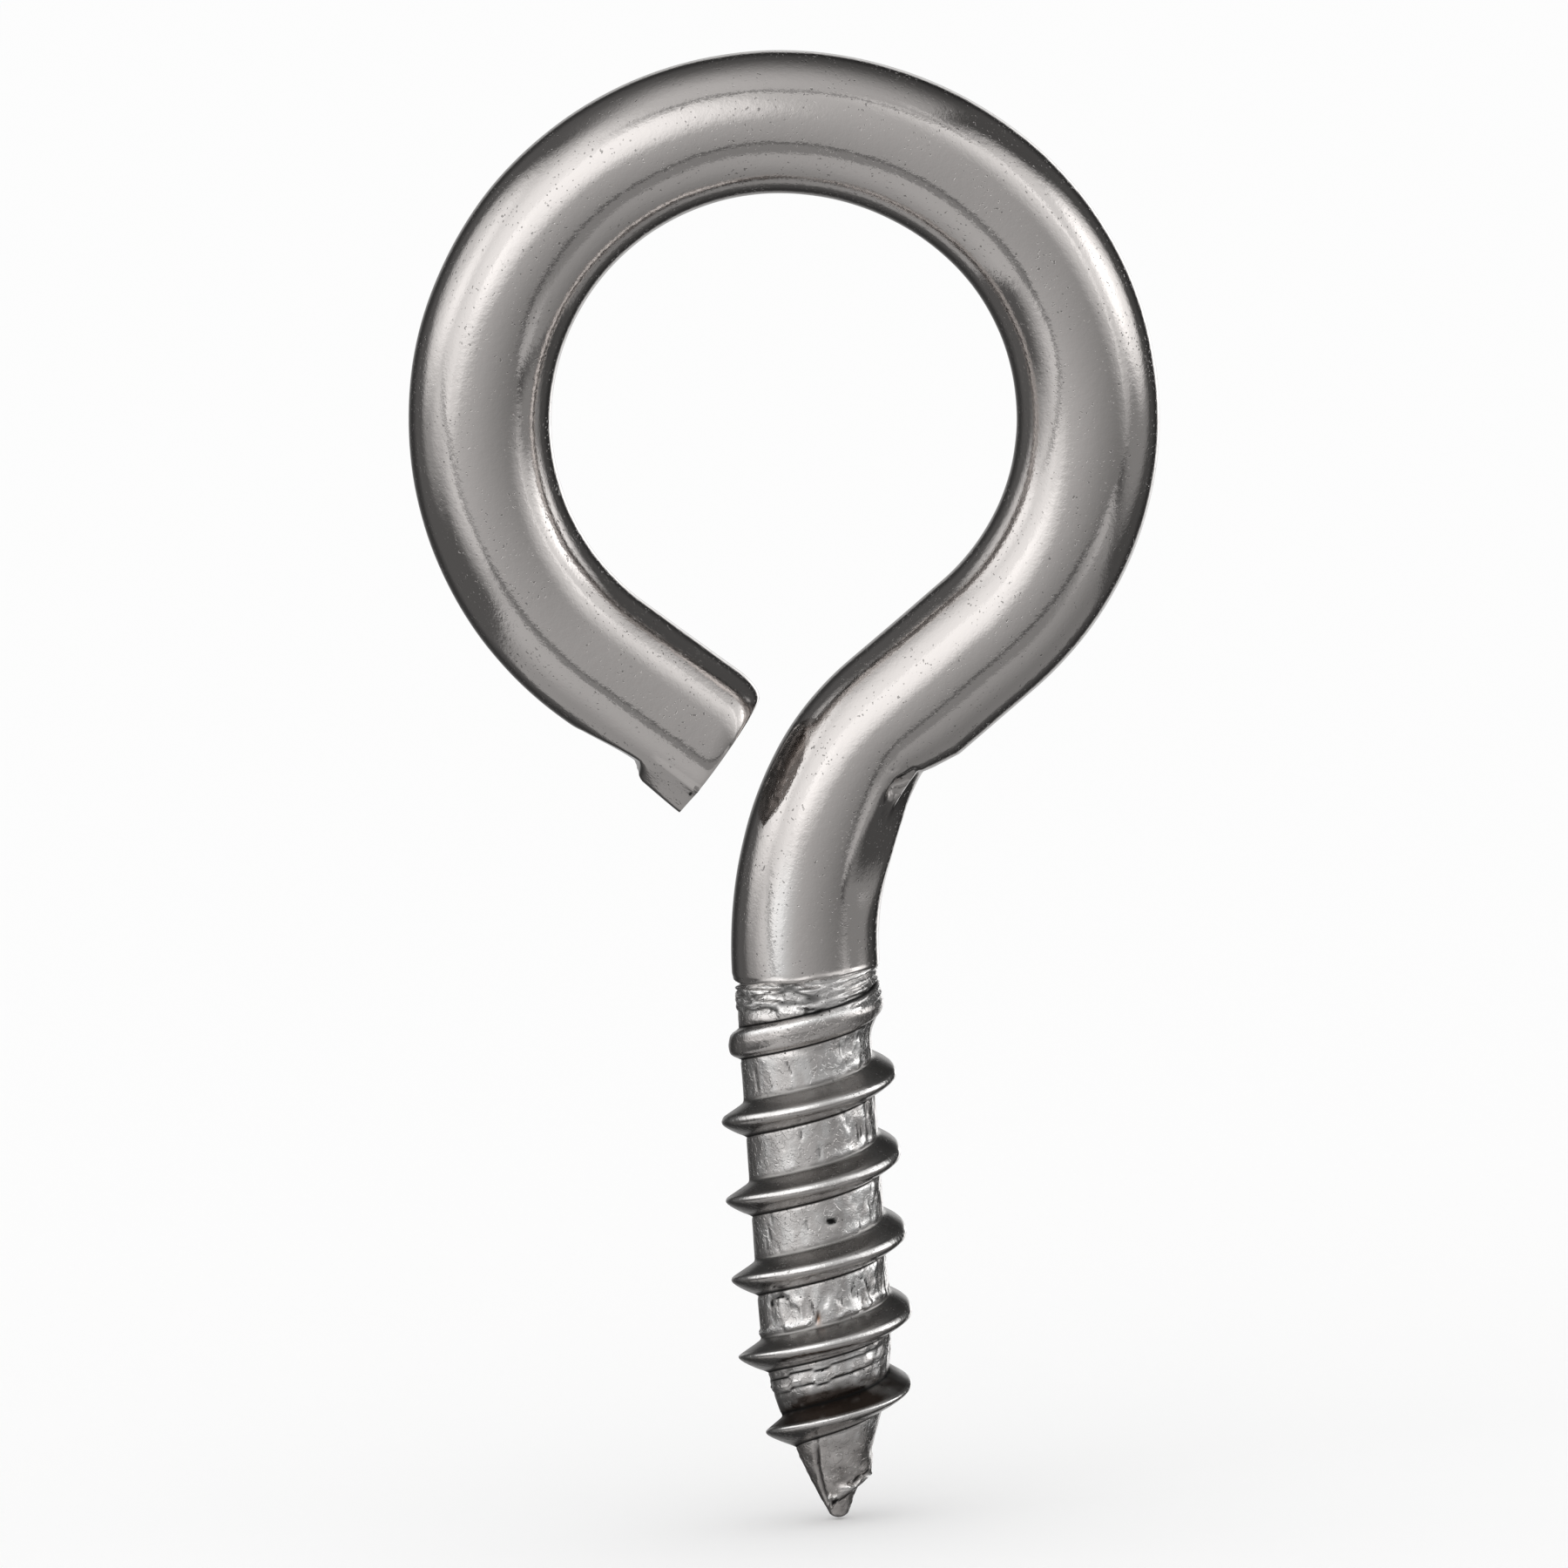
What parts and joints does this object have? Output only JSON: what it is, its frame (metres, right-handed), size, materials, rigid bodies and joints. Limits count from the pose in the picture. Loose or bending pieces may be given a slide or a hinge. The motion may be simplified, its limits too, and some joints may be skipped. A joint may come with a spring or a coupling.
{
  "type": "screw eye",
  "caption": "One-piece screw eye: round wire bent into a nearly closed eye with an offset neck, a sheared free end, and a rolled right-hand wood-screw thread with a gimlet point.",
  "frame": {"origin": "level with the point of the screw, under the middle of the eye, in the plane of the eye; the screw's own axis is 0.62 mm towards -X", "axes": "+Z along the screw from the point to the eye; +Y through the eye, away from a viewer who sees the sheared end on the left; +X to that viewer's right"},
  "size_m": [0.0215, 0.005, 0.0425],
  "materials": {
    "polished_steel": "bright warm-grey polished steel with fine pits and drawing lines; the rolled thread is duller and scored"
  },
  "bodies": {
    "root": {"screw_eye": "polished_steel"}
  },
  "joints": []
}
